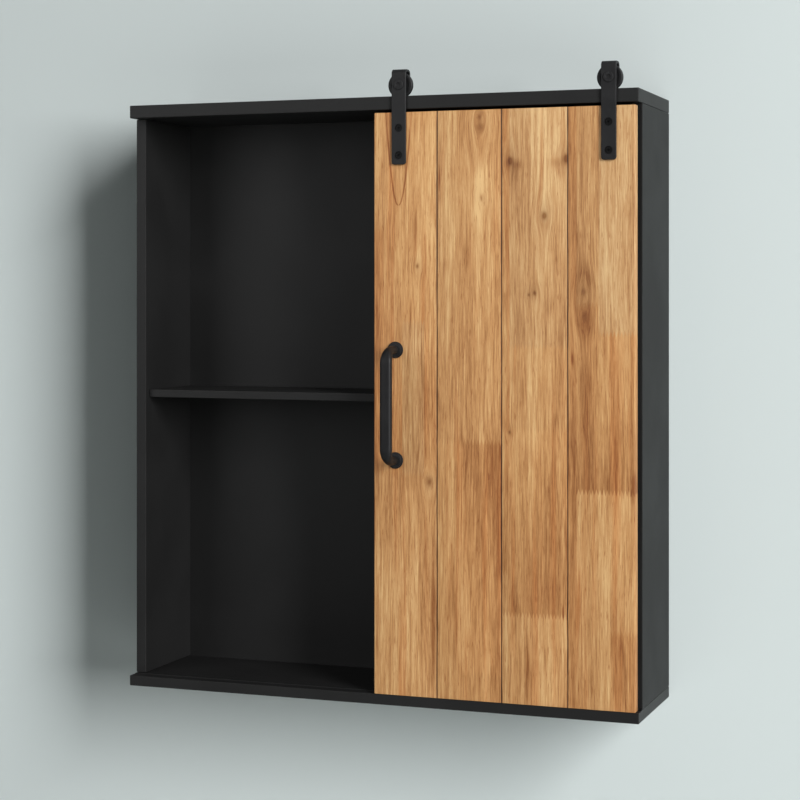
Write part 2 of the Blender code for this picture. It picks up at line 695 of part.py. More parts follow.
def dome(radius, height, steps):
    """Rising (radius, height) points of a shallow round head."""
    sphere = (radius ** 2 + height ** 2) / (2 * height)
    points = []
    for number in range(steps + 1):
        across = radius * (1 - number / steps)
        points.append((across, math.sqrt(sphere ** 2 - across ** 2) - sphere + height))
    return points


def make_axle_bolts(metal, carrier):
    """Domed bolts through strap, spacers and roller, with a nut behind."""
    head_base = ROLLER_Y - STRAP_FRONT + GAP
    end = STRAP_REAR - ROLLER_Y + NUT_THICKNESS + 0.0010
    crown = dome(AXLE_HEAD_RADIUS, AXLE_HEAD_CROWN, 4)
    head = [(radius, head_base + AXLE_HEAD_RIM + height) for radius, height in crown]
    profile = [(0, -end), (AXLE_RADIUS - AXLE_CHAMFER, -end), (AXLE_RADIUS, -end + AXLE_CHAMFER),
               (AXLE_RADIUS, head_base), (AXLE_HEAD_RADIUS, head_base)] + head
    mesh = turned("roller_bolt", profile, 20, -Y_AXIS)
    mesh = socket_cut(mesh, AXLE_SOCKET, head_base + 2 * AXLE_HEAD_RIM, head_base + PAST, -Y_AXIS)
    mesh.materials.clear()
    mesh.materials.append(metal)
    nut_near = STRAP_REAR + GAP - ROLLER_Y
    nut = prism_mesh("roller_nut", 6, NUT_RADIUS, nut_near, nut_near + NUT_THICKNESS)
    for side, x in STRAP_X.items():
        centre = Vector((x, ROLLER_Y, ROLLER_Z))
        link("roller_bolt_" + side, mesh, place=centre, parent=carrier)
        obj = link("roller_nut_" + side, nut.copy(), metal, place=centre, parent=carrier)
        cut(obj, cutter(turned("nut_bore_" + side, rod(AXLE_RADIUS + GAP, -3 * PAST, 3 * PAST), 12), centre))


# ---------------------------------------------------------------- handle
def handle_path():
    """Centre line (Y, Z) of the bar from its lower foot, out, up and back, with its flatness."""
    foot = -ROSETTE_THICKNESS - 2 * GAP
    out = -HANDLE_REACH + HANDLE_BEND
    half = HANDLE_SPACING / 2
    steps = 8
    flatness = [(1 - math.cos(math.pi * step / steps)) / 2 for step in range(steps + 1)]
    lower = arc((out, -half + HANDLE_BEND), HANDLE_BEND, 270, 180, steps)
    upper = arc((out, half - HANDLE_BEND), HANDLE_BEND, 180, 90, steps)
    bends = [(y, z, flat) for (y, z), flat in zip(lower + upper, flatness + flatness[::-1])]
    return [(foot, -half, 0.0)] + bends + [(foot, half, 0.0)]


def bar_section(flat, sides):
    """Outline (sideways, outwards) of the bar: a round neck at 0, the flattened grip at 1."""
    wide = NECK_RADIUS + (GRIP_WIDTH / 2 - NECK_RADIUS) * flat
    deep = NECK_RADIUS + (GRIP_DEPTH / 2 - NECK_RADIUS) * flat
    power = 2 / (2 + GRIP_SQUARENESS * flat)
    points = []
    for step in range(sides):
        sideways = math.cos(2 * math.pi * step / sides)
        outwards = math.sin(2 * math.pi * step / sides)
        points.append((math.copysign(wide * abs(sideways) ** power, sideways),
                       math.copysign(deep * abs(outwards) ** power, outwards)))
    return points


def handle_mesh(sides=16):
    """A bar swept along the handle's centre line."""
    bm = bmesh.new()
    path = [(Vector((0, y, z)), flat) for y, z, flat in handle_path()]
    rings = []
    for number, (point, flat) in enumerate(path):
        before = path[max(number - 1, 0)][0]
        after = path[min(number + 1, len(path) - 1)][0]
        heading = (after - before).normalized()
        if number in (0, len(path) - 1):
            heading = Vector((0, -1 if number == 0 else 1, 0))
        across = heading.cross(X_AXIS)
        rings.append([bm.verts.new(point + sideways * X_AXIS + outwards * across)
                      for sideways, outwards in bar_section(flat, sides)])
    for one, two in zip(rings, rings[1:]):
        for step in range(sides):
            after = (step + 1) % sides
            bm.faces.new((one[step], one[after], two[after], two[step]))
    bm.faces.new(rings[0])
    bm.faces.new(rings[-1])
    return mesh_from(bm, "handle_bar", smooth=True)


def make_handle(metal, steel, carrier):
    centre = Vector((HANDLE_X, DOOR_FRONT, HANDLE_Z))
    bar = link("handle_bar", handle_mesh(), metal, place=centre, parent=carrier)
    depth = ROSETTE_THICKNESS + HANDLE_SCREW_GRIP + 3 * GAP
    bore = turned("handle_thread", rod(HANDLE_SCREW_RADIUS + GAP, -depth, SINK_TOP), 12)
    base = ROSETTE_BASE
    hole = HANDLE_SCREW_RADIUS + GAP
    profile = [(hole, GAP), (ROSETTE_RADIUS - GAP, GAP), (ROSETTE_RADIUS, 2 * GAP),
               (ROSETTE_RADIUS, base), (ROSETTE_RADIUS - 0.0007, base + 0.0007),
               (ROSETTE_RADIUS - 0.0013, base + 0.0008), (ROSETTE_RADIUS - 0.0019, ROSETTE_THICKNESS),
               (hole, ROSETTE_THICKNESS)]
    rosette = turned("handle_rosette", profile, 24, -Y_AXIS, closed=True)
    rosette.materials.append(metal)
    head = DOOR_THICKNESS + GAP
    tip = 2 * GAP - depth
    screw = turned("handle_screw", [(0, tip), (HANDLE_SCREW_RADIUS, tip), (HANDLE_SCREW_RADIUS, head),
                                    (HANDLE_HEAD_RADIUS, head), (HANDLE_HEAD_RADIUS, head + 0.0014),
                                    (HANDLE_HEAD_RADIUS - 0.0008, head + 0.0021),
                                    (0, head + HANDLE_HEAD_HEIGHT)], 14)
    screw.materials.append(steel)
    for row, z in handle_heights():
        place = Vector((HANDLE_X, DOOR_FRONT, z))
        cut(bar, cutter(bore, place))
        link("handle_rosette_" + row, rosette, place=place, parent=carrier)
        link("handle_screw_" + row, screw, place=place, parent=carrier)


# ---------------------------------------------------------------- assembly
def main():
    clear_scene()
    black_board = material("black_painted_board", (0.030, 0.030, 0.031), 0.55)
    oiled_wood = material("honey_oiled_wood", (0.52, 0.28, 0.11), 0.50)
    black_metal = material("black_powder_coat", (0.028, 0.028, 0.029), 0.45, 0.2)
    black_nylon = material("black_nylon", (0.020, 0.020, 0.020), 0.40)
    zinc_steel = material("zinc_plated_steel", (0.60, 0.60, 0.62), 0.35, 1.0)

    make_top_panel(black_board)
    make_bottom_panel(black_board)
    make_centre_divider(black_board)
    make_back_panel(black_board)
    for side, sign in (("left", -1), ("right", 1)):
        make_side_panel(side, sign, black_board)
        make_shelf(side, sign, black_board)
        make_shelf_pins(side, sign, zinc_steel)
    make_carcass_screws(zinc_steel)
    make_hanging_rail(black_board)
    make_keyhole_plates(zinc_steel)
    make_plate_screws(zinc_steel)

    carrier = bpy.data.objects.new("door_carrier", None)
    bpy.context.scene.collection.objects.link(carrier)
    carrier.location = ((DOOR_LEFT + DOOR_RIGHT) / 2, ROLLER_Y, ROLLER_Z)
    make_door_planks(oiled_wood, carrier)
    for side in STRAP_X:
        make_strap(side, black_metal, carrier)
    make_strap_screws(black_metal, carrier)
    make_rollers(black_nylon, black_metal, carrier)
    make_axle_bolts(black_metal, carrier)
    make_handle(black_metal, zinc_steel, carrier)


main()
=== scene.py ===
"""Looks for the hanging wall cabinet with a sliding plank door.

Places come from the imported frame, in metres, +Z up, front along -Y.
"""

import math

import bmesh
import bpy
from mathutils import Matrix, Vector


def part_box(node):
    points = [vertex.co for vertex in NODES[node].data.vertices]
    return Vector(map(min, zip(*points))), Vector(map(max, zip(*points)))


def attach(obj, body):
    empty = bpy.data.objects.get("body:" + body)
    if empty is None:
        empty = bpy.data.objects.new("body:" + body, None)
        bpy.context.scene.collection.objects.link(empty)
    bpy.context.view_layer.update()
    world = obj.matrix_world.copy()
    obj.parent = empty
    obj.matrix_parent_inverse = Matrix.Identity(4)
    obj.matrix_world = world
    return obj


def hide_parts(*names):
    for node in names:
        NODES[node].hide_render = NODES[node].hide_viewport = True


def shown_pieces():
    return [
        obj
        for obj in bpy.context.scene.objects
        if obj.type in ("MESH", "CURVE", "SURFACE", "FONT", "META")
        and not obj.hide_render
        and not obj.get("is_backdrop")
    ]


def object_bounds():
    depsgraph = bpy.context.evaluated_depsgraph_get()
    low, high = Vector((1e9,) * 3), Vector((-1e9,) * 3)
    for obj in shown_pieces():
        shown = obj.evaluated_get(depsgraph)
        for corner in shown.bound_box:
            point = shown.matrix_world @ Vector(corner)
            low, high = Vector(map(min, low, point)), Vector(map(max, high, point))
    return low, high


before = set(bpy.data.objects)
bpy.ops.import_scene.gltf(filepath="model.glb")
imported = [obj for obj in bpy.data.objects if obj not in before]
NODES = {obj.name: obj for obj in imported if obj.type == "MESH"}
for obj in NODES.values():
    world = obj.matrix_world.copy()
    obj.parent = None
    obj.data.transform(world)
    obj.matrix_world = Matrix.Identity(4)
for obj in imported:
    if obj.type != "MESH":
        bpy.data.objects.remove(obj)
CAD_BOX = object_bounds()
PLANKS = 4
SIDES = ("left", "right")

X_AXIS = Vector((1, 0, 0))
Y_AXIS = Vector((0, 1, 0))
Z_AXIS = Vector((0, 0, 1))


def linear(red, green, blue):
    """A display colour (0 to 255) as a shader colour."""
    made = []
    for level in (red, green, blue):
        share = level / 255
        made.append(share / 12.92 if share <= 0.04045 else ((share + 0.055) / 1.055) ** 2.4)
    return (*made, 1.0)


# ---------------------------------------------------------------- node helper
class Value:
    """The output of a node, with arithmetic."""

    def __init__(self, paint, socket):
        self.paint = paint
        self.socket = socket

    def __add__(self, other):
        return self.paint.math("ADD", self, other)

    def __sub__(self, other):
        return self.paint.math("SUBTRACT", self, other)

    def __rsub__(self, other):
        return self.paint.math("SUBTRACT", other, self)

    def __mul__(self, other):
        return self.paint.math("MULTIPLY", self, other)

    def __truediv__(self, other):
        return self.paint.math("DIVIDE", self, other)


class Paint:
    """Writes one material's nodes."""

    def __init__(self, name):
        self.material = bpy.data.materials.new(name)
        self.material.use_nodes = True
        self.tree = self.material.node_tree
        self.shader = self.tree.nodes["Principled BSDF"]
        coordinates = self.node("ShaderNodeTexCoord")
        self.place = Value(self, coordinates.outputs["Object"])
        split = self.node("ShaderNodeSeparateXYZ")
        self.put(split.inputs[0], self.place)
        self.x = Value(self, split.outputs[0])
        self.y = Value(self, split.outputs[1])
        self.z = Value(self, split.outputs[2])

    def node(self, kind, **settings):
        made = self.tree.nodes.new(kind)
        for name, value in settings.items():
            setattr(made, name, value)
        return made

    def put(self, socket, value):
        if isinstance(value, Value):
            self.tree.links.new(value.socket, socket)
        else:
            socket.default_value = value

    def math(self, operation, *terms):
        made = self.node("ShaderNodeMath", operation=operation)
        for socket, term in zip(made.inputs, terms):
            self.put(socket, term)
        return Value(self, made.outputs[0])

    def vector(self, x, y, z):
        made = self.node("ShaderNodeCombineXYZ")
        for socket, term in zip(made.inputs, (x, y, z)):
            self.put(socket, term)
        return Value(self, made.outputs[0])

    def stretched(self, place, scale, shift=(0, 0, 0)):
        made = self.node("ShaderNodeMapping")
        self.put(made.inputs["Vector"], place)
        made.inputs["Scale"].default_value = scale
        made.inputs["Location"].default_value = shift
        return Value(self, made.outputs[0])

    def noise(self, place, scale=1.0, detail=2.0, roughness=0.5):
        made = self.node("ShaderNodeTexNoise")
        self.put(made.inputs["Vector"], place)
        made.inputs["Scale"].default_value = scale
        made.inputs["Detail"].default_value = detail
        made.inputs["Roughness"].default_value = roughness
        return Value(self, made.outputs[0])

    def step(self, value, low, high, from_value=0.0, to_value=1.0):
        """Smooth change from one number to another between low and high."""
        made = self.node("ShaderNodeMapRange", interpolation_type="SMOOTHSTEP")
        self.put(made.inputs["Value"], value)
        self.put(made.inputs["From Min"], low)
        self.put(made.inputs["From Max"], high)
        self.put(made.inputs["To Min"], from_value)
        self.put(made.inputs["To Max"], to_value)
        return Value(self, made.outputs[0])

    def mix(self, share, one, two, blend="MIX"):
        made = self.node("ShaderNodeMix", data_type="RGBA", blend_type=blend)
        self.put(made.inputs[0], share)
        self.put(made.inputs[6], one)
        self.put(made.inputs[7], two)
        return Value(self, made.outputs[2])

    def ramp(self, share, stops):
        made = self.node("ShaderNodeValToRGB")
        self.put(made.inputs[0], share)
        elements = made.color_ramp.elements
        while len(elements) < len(stops):
            elements.new(0.5)
        for element, (place, colour) in zip(elements, stops):
            element.position = place
            element.color = colour
        return Value(self, made.outputs[0])

    def bump(self, height, strength, distance):
        made = self.node("ShaderNodeBump")
        self.put(made.inputs["Height"], height)
        made.inputs["Strength"].default_value = strength
        made.inputs["Distance"].default_value = distance
        self.put(self.shader.inputs["Normal"], Value(self, made.outputs[0]))

    def finish(self, colour, roughness, **constants):
        self.put(self.shader.inputs["Base Color"], colour)
        self.put(self.shader.inputs["Roughness"], roughness)
        for name, value in constants.items():
            self.shader.inputs[name.replace("_", " ")].default_value = value
        return self.material


# ---------------------------------------------------------------- materials
def edge_distance(paint, low, high):
    """Distance along the surface of a box-shaped board to its nearest edge."""
    gaps = []
    for value, one, two in zip((paint.x, paint.y, paint.z), low, high):
        gaps.append(paint.math("MINIMUM", value - one, two - value))
    first, second, third = gaps
    small = paint.math("MINIMUM", first, second)
    large = paint.math("MAXIMUM", first, second)
    return paint.math("MAXIMUM", small, paint.math("MINIMUM", large, third))


BOARD_BLACK = linear(27, 27, 27)
BOARD_DUSTY = linear(31, 31, 31)
# Edge colour: rubbed wear, and also a painted highlight along every edge.
BOARD_WORN_AND_LIT = linear(44, 44, 43)
BOARD_SHEEN = 0.21
# Less sheen on the side that faces the key light: painted shade that darkens that side.
KEY_SIDE_SHADED_SHEEN = 0.09              # the side that faces the key light
BOARD_SEED_STEP = 3.7


def board_material(node, seed, sheen):
    """Smooth black paint on board: faint orange peel, smudges, and edges lightened as rubbed wear and as a
    painted highlight.
    """
    paint = Paint("painted_" + node)
    low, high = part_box(node)
    cloud = paint.noise(paint.stretched(paint.place, (1, 1, 1), (seed, 0, 0)), 9.0, 4.0)
    peel = paint.noise(paint.place, 420.0, 2.0)
    speck = paint.noise(paint.place, 1500.0, 1.0)
    near = edge_distance(paint, low, high)
    ragged = near + (paint.noise(paint.place, 160.0, 3.0) - 0.5) * 0.0016
    # Lighter edges: partly rubbed wear, partly a painted edge highlight; the smoother roughness there is
    # the wear.
    worn_and_lit_edge = paint.step(ragged, 0.0, 0.0011, 1.0, 0.0)
    colour = paint.mix(paint.step(cloud, 0.35, 0.7), BOARD_BLACK, BOARD_DUSTY)
    colour = paint.mix(worn_and_lit_edge * 0.4, colour, BOARD_WORN_AND_LIT)
    roughness = paint.step(cloud, 0.3, 0.7, 0.46, 0.54) + (speck - 0.5) * 0.10 - worn_and_lit_edge * 0.06
    paint.bump(peel * 0.7 + speck * 0.3, 0.10, 0.00025)
    return paint.finish(colour, roughness, Specular_IOR_Level=sheen)


METAL_BLACK = linear(24, 24, 25)
METAL_GREY = linear(29, 29, 30)
METAL_RUBBED = linear(42, 42, 43)
METAL_SHEEN = 0.26
GRIP_SHEEN = 0.21
# Screw colours: black oxide, darkened further as painted shade in the screws' recesses.
OXIDE_AND_SHADE_BLACK = linear(8, 8, 8)
OXIDE_AND_SHADE_GREY = linear(15, 15, 15)
OXIDE_SHEEN = 0.15


def oxide_and_shade_material(name):
    """Black oxide on the screws, a little oily; darker than the coated straps also as painted shade in the
    screws' recesses.
    """
    paint = Paint(name)
    grain = paint.noise(paint.place, 2200.0, 2.0)
    cloud = paint.noise(paint.place, 320.0, 3.0)
    colour = paint.mix(paint.step(cloud, 0.35, 0.65), OXIDE_AND_SHADE_BLACK, OXIDE_AND_SHADE_GREY)
    roughness = paint.step(cloud, 0.3, 0.7, 0.42, 0.56)
    paint.bump(grain, 0.2, 0.00008)
    return paint.finish(colour, roughness, Specular_IOR_Level=OXIDE_SHEEN)


def coated_metal_material(name, seed, sheen):
    """Matt black powder coat: fine speckle, a little rubbed."""
    paint = Paint(name)
    grain = paint.noise(paint.place, 2600.0, 2.0)
    cloud = paint.noise(paint.stretched(paint.place, (1, 1, 1), (0, seed, 0)), 45.0, 3.0)
    fleck = paint.step(paint.noise(paint.place, 900.0, 2.0), 0.62, 0.72)
    colour = paint.mix(paint.step(cloud, 0.35, 0.65), METAL_BLACK, METAL_GREY)
    colour = paint.mix(fleck * 0.25, colour, METAL_RUBBED)
    roughness = paint.step(cloud, 0.3, 0.7, 0.46, 0.56) + (grain - 0.5) * 0.15
    paint.bump(grain, 0.25, 0.00012)
    return paint.finish(colour, roughness, Specular_IOR_Level=sheen)


NYLON_BLACK = linear(23, 23, 24)
NYLON_SCUFFED = linear(36, 36, 36)
NYLON_SHEEN = 0.25
TREAD_FADE = (0.0010, 0.0002)      # how far in from the tread its scuffs start and are full
RING_RATE = 9000.0


def nylon_material(name, centre, wheel_radius):
    """Moulded wheel: fine rings about the axle and a scuffed tread."""
    paint = Paint(name)
    across = paint.x - centre.x
    up = paint.z - centre.z
    radius = paint.math("SQRT", across * across + up * up)
    rings = paint.math("SINE", radius * RING_RATE)
    grain = paint.noise(paint.place, 1800.0, 2.0)
    outer = paint.step(radius, wheel_radius - TREAD_FADE[0], wheel_radius - TREAD_FADE[1])
    tread = outer * paint.step(grain, 0.45, 0.6)
    colour = paint.mix(tread * 0.5, NYLON_BLACK, NYLON_SCUFFED)
    roughness = paint.step(grain, 0.3, 0.7, 0.42, 0.54)
    paint.bump(rings * 0.3 + grain, 0.15, 0.00008)
    return paint.finish(colour, roughness, Specular_IOR_Level=NYLON_SHEEN)


ZINC = linear(196, 198, 202)
ZINC_DULL = linear(150, 152, 156)


def zinc_material(name, seed):
    """Zinc-plated steel: cloudy, with fine drawn lines."""
    paint = Paint(name)
    cloud = paint.noise(paint.stretched(paint.place, (1, 1, 1), (0, 0, seed)), 260.0, 3.0)
    drawn = paint.noise(paint.stretched(paint.place, (4000, 600, 4000)), 1.0, 2.0)
    colour = paint.mix(paint.step(cloud, 0.35, 0.7), ZINC, ZINC_DULL)
    roughness = paint.step(cloud, 0.3, 0.7, 0.26, 0.42) + (drawn - 0.5) * 0.12
    paint.bump(drawn, 0.12, 0.00006)
    return paint.finish(colour, roughness, Metallic=1.0)


FIBRE_DARK = linear(60, 46, 36)
FIBRE_PALE = linear(92, 72, 55)
FIBREBOARD_SHEEN = 0.22
PAINT_WRAP = (0.0012, 0.0006)      # how far in front of the rear face the bare fibre starts and is full


def fibreboard_material(node):
    """Back board: painted on its face, bare dark fibre behind."""
    paint = Paint("painted_" + node)
    low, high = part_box(node)
    cloud = paint.noise(paint.place, 9.0, 4.0)
    fibre = paint.noise(paint.stretched(paint.place, (1500, 1500, 320), (0, 0, 3)), 1.0, 4.0)
    peel = paint.noise(paint.place, 420.0, 2.0)
    rear = paint.step(paint.y, high.y - PAINT_WRAP[0], high.y - PAINT_WRAP[1])
    face = paint.mix(paint.step(cloud, 0.35, 0.7), BOARD_BLACK, BOARD_DUSTY)
    bare = paint.mix(paint.step(fibre, 0.3, 0.7), FIBRE_DARK, FIBRE_PALE)
    colour = paint.mix(rear, face, bare)
    roughness = paint.step(cloud, 0.3, 0.7, 0.46, 0.54) + rear * 0.3
    paint.bump(peel * (1.0 - rear) * 0.5 + fibre * rear, 0.15, 0.0003)
    return paint.finish(colour, roughness, Specular_IOR_Level=FIBREBOARD_SHEEN)


# ---------------------------------------------------------------- the door's wood
HONEY_DARK = linear(134, 84, 42)
HONEY = linear(184, 135, 84)
HONEY_LIGHT = linear(214, 175, 121)
RED_BROWN = (0.90, 0.66, 0.50, 1.0)
PALE = (0.96, 1.08, 1.28, 1.0)
KNOT_BROWN = (0.40, 0.27, 0.17, 1.0)
PORE_BROWN = (0.66, 0.48, 0.36, 1.0)

# Glued-up pieces in each plank: left, right (share of the plank's width), top, bottom
# (share of its height), lightness, lightening from top to bottom, redness (below 0 is paler).
STAVES = {
    1: ((0.00, 1.00, 0.00, 0.62, 0.02, 0.00, 0.00), (0.45, 0.80, 0.36, 0.62, -0.06, 0.00, -0.50),
        (0.00, 1.00, 0.62, 1.00, -0.01, 0.04, -0.15), (0.00, 0.16, 0.20, 0.62, -0.06, -0.05, 0.30)),
    2: ((0.00, 1.00, 0.00, 0.562, -0.01, -0.03, -0.10), (0.00, 0.40, 0.562, 1.00, 0.04, 0.00, 0.00),
        (0.40, 1.00, 0.562, 0.955, -0.09, 0.08, 0.14), (0.40, 1.00, 0.955, 1.00, -0.10, 0.00, 0.00)),
    3: ((0.00, 0.12, 0.00, 0.54, -0.05, 0.04, 0.10), (0.12, 1.00, 0.00, 0.40, 0.06, -0.08, -0.45),
        (0.12, 1.00, 0.40, 0.54, 0.04, 0.00, -0.10), (0.00, 1.00, 0.54, 0.850, -0.02, -0.12, 0.02),
        (0.00, 0.09, 0.78, 1.00, 0.12, 0.00, -0.20), (0.09, 1.00, 0.850, 1.00, 0.06, -0.02, -0.10)),
    4: ((0.00, 0.13, 0.00, 1.00, -0.08, 0.00, 0.30), (0.13, 0.46, 0.00, 0.33, 0.01, 0.00, -0.25),
        (0.46, 1.00, 0.00, 0.378, 0.04, -0.04, -0.60), (0.13, 0.46, 0.33, 0.640, -0.12, -0.08, 0.08),
        (0.46, 1.00, 0.378, 0.640, -0.09, -0.12, 0.00), (0.13, 0.62, 0.640, 1.00, 0.06, -0.04, -0.08),
        (0.62, 1.00, 0.640, 0.872, 0.02, -0.04, -0.05), (0.62, 1.00, 0.872, 1.00, -0.07, 0.04, 0.14)),
}
# Knots: across, down (shares), radius in metres, darkness.
KNOTS = {
    1: ((0.88, 0.632, 0.0042, 0.75), (0.69, 0.264, 0.0018, 0.75)),
    2: ((0.66, 0.012, 0.0024, 0.60), (0.67, 0.030, 0.0044, 0.42), (0.70, 0.150, 0.0026, 0.25)),
    3: ((0.13, 0.088, 0.0030, 1.15), (0.98, 0.086, 0.0031, 1.15), (0.65, 0.181, 0.0032, 0.95),
        (0.50, 0.310, 0.0018, 0.90), (0.41, 0.313, 0.0013, 0.70), (0.12, 0.544, 0.0015, 0.75)),
    4: ((0.24, 0.308, 0.0036, 0.60), (0.25, 0.350, 0.0030, 0.40)),
}
# Soft streaks: across, down, half width and half length in metres, darkness (below 0 is pale).
STREAKS = {
    1: ((0.66, 0.215, 0.0016, 0.030, 0.45), (0.60, 0.355, 0.0012, 0.014, 0.60),
        (0.04, 0.45, 0.0030, 0.140, 0.25), (0.70, 0.10, 0.0020, 0.090, -0.40),
        (0.52, 0.20, 0.0014, 0.070, -0.35), (0.83, 0.50, 0.0035, 0.045, 0.45),
        (0.955, 0.84, 0.0026, 0.070, 0.60), (0.42, 0.93, 0.0016, 0.040, 0.45),
        (0.28, 0.95, 0.0014, 0.030, 0.40), (0.97, 0.50, 0.0022, 0.060, 0.40)),
    2: ((0.05, 0.118, 0.0018, 0.013, 0.75), (0.66, 0.118, 0.0060, 0.016, -0.60),
        (0.47, 0.250, 0.0022, 0.016, 0.45), (0.64, 0.27, 0.0022, 0.075, -0.35),
        (0.86, 0.61, 0.0030, 0.030, 0.45), (0.94, 0.67, 0.0020, 0.040, 0.40),
        (0.24, 0.80, 0.0055, 0.040, 0.30), (0.33, 0.86, 0.0020, 0.030, 0.45),
        (0.395, 0.76, 0.0006, 0.120, 0.45), (0.62, 0.17, 0.0060, 0.012, -0.30)),
    3: ((0.47, 0.09, 0.0013, 0.060, -0.60), (0.56, 0.10, 0.0010, 0.075, -0.60),
        (0.66, 0.08, 0.0012, 0.050, -0.55), (0.72, 0.12, 0.0010, 0.090, -0.45),
        (0.70, 0.33, 0.0050, 0.010, 0.30), (0.93, 0.842, 0.0008, 0.006, 1.10),
        (0.38, 0.94, 0.0022, 0.035, 0.50), (0.30, 0.45, 0.0026, 0.060, 0.35),
        (0.65, 0.81, 0.0150, 0.018, 0.24), (0.04, 0.60, 0.0022, 0.050, 0.45),
        (0.20, 0.094, 0.0070, 0.0050, 0.55), (0.86, 0.092, 0.0080, 0.0050, 0.55),
        (0.16, 0.110, 0.0040, 0.0080, 0.35), (0.90, 0.108, 0.0040, 0.0070, 0.35)),
    4: ((0.25, 0.278, 0.0065, 0.011, 0.42), (0.15, 0.22, 0.0012, 0.016, 0.60),
        (0.26, 0.362, 0.0042, 0.014, 0.40), (0.07, 0.42, 0.0014, 0.006, 0.80),
        (0.18, 0.83, 0.0022, 0.030, 0.50), (0.60, 0.27, 0.0050, 0.045, -0.35),
        (0.96, 0.63, 0.0016, 0.010, 0.70), (0.80, 0.93, 0.0040, 0.035, 0.25),
        (0.52, 0.12, 0.0030, 0.050, -0.35), (0.30, 0.48, 0.0040, 0.050, 0.30)),
}
# A flame in the grain: across, down of its tip, half width at the top, length.
FLAME = {1: (0.385, 0.160, 0.0150, 0.100)}
# Dark brown of the painted shade and dirt in the grooves between planks.
SHADE_AND_STAIN_BROWN = (0.12, 0.07, 0.05, 1.0)
GROOVE_SHADE_AND_STAIN = 0.0008
FINGER_PITCH = 0.0040
FINGER_LENGTH = 0.0070
GLUE_LINE = 0.006                  # half width of the change of colour, as a share of a plank's width
FINGER_EDGE = 0.0012               # the same at a finger joint, as a share of its height
WOOD_SHEEN = 0.35

# Noise scales across, through and along a plank, from the broadest figure to the finest.
WANDER_SCALE = (9, 9, 3.2)
FIELD_SCALE = (26, 26, 2.2)
SHADE_AND_STAIN_SCALE = (40, 40, 22)
BROAD_SCALE = (55, 55, 5.5)
BLUSH_SCALE = (75, 75, 1.9)
STREAK_SCALE = (330, 330, 9)
FIBRE_SCALE = (760, 760, 34)
PORE_SCALE = (900, 900, 75)


def bell(paint, across, along, half_width, half_length):
    """Falls from 1 at the middle to 0 a few half sizes away."""
    wide = across / half_width
    high = along / half_length
    return paint.math("EXPONENT", (wide * wide + high * high) * -0.7)


def limits(paint, value, low, high, soft):
    """Steps that are 1 between low and high and 0 outside. A limit at 0 or 1 needs none."""
    made = []
    if low > 0.0:
        made.append(paint.step(value, low - soft, low + soft))
    if high < 1.0:
        made.append(paint.step(value, high - soft, high + soft, 1.0, 0.0))
    return made


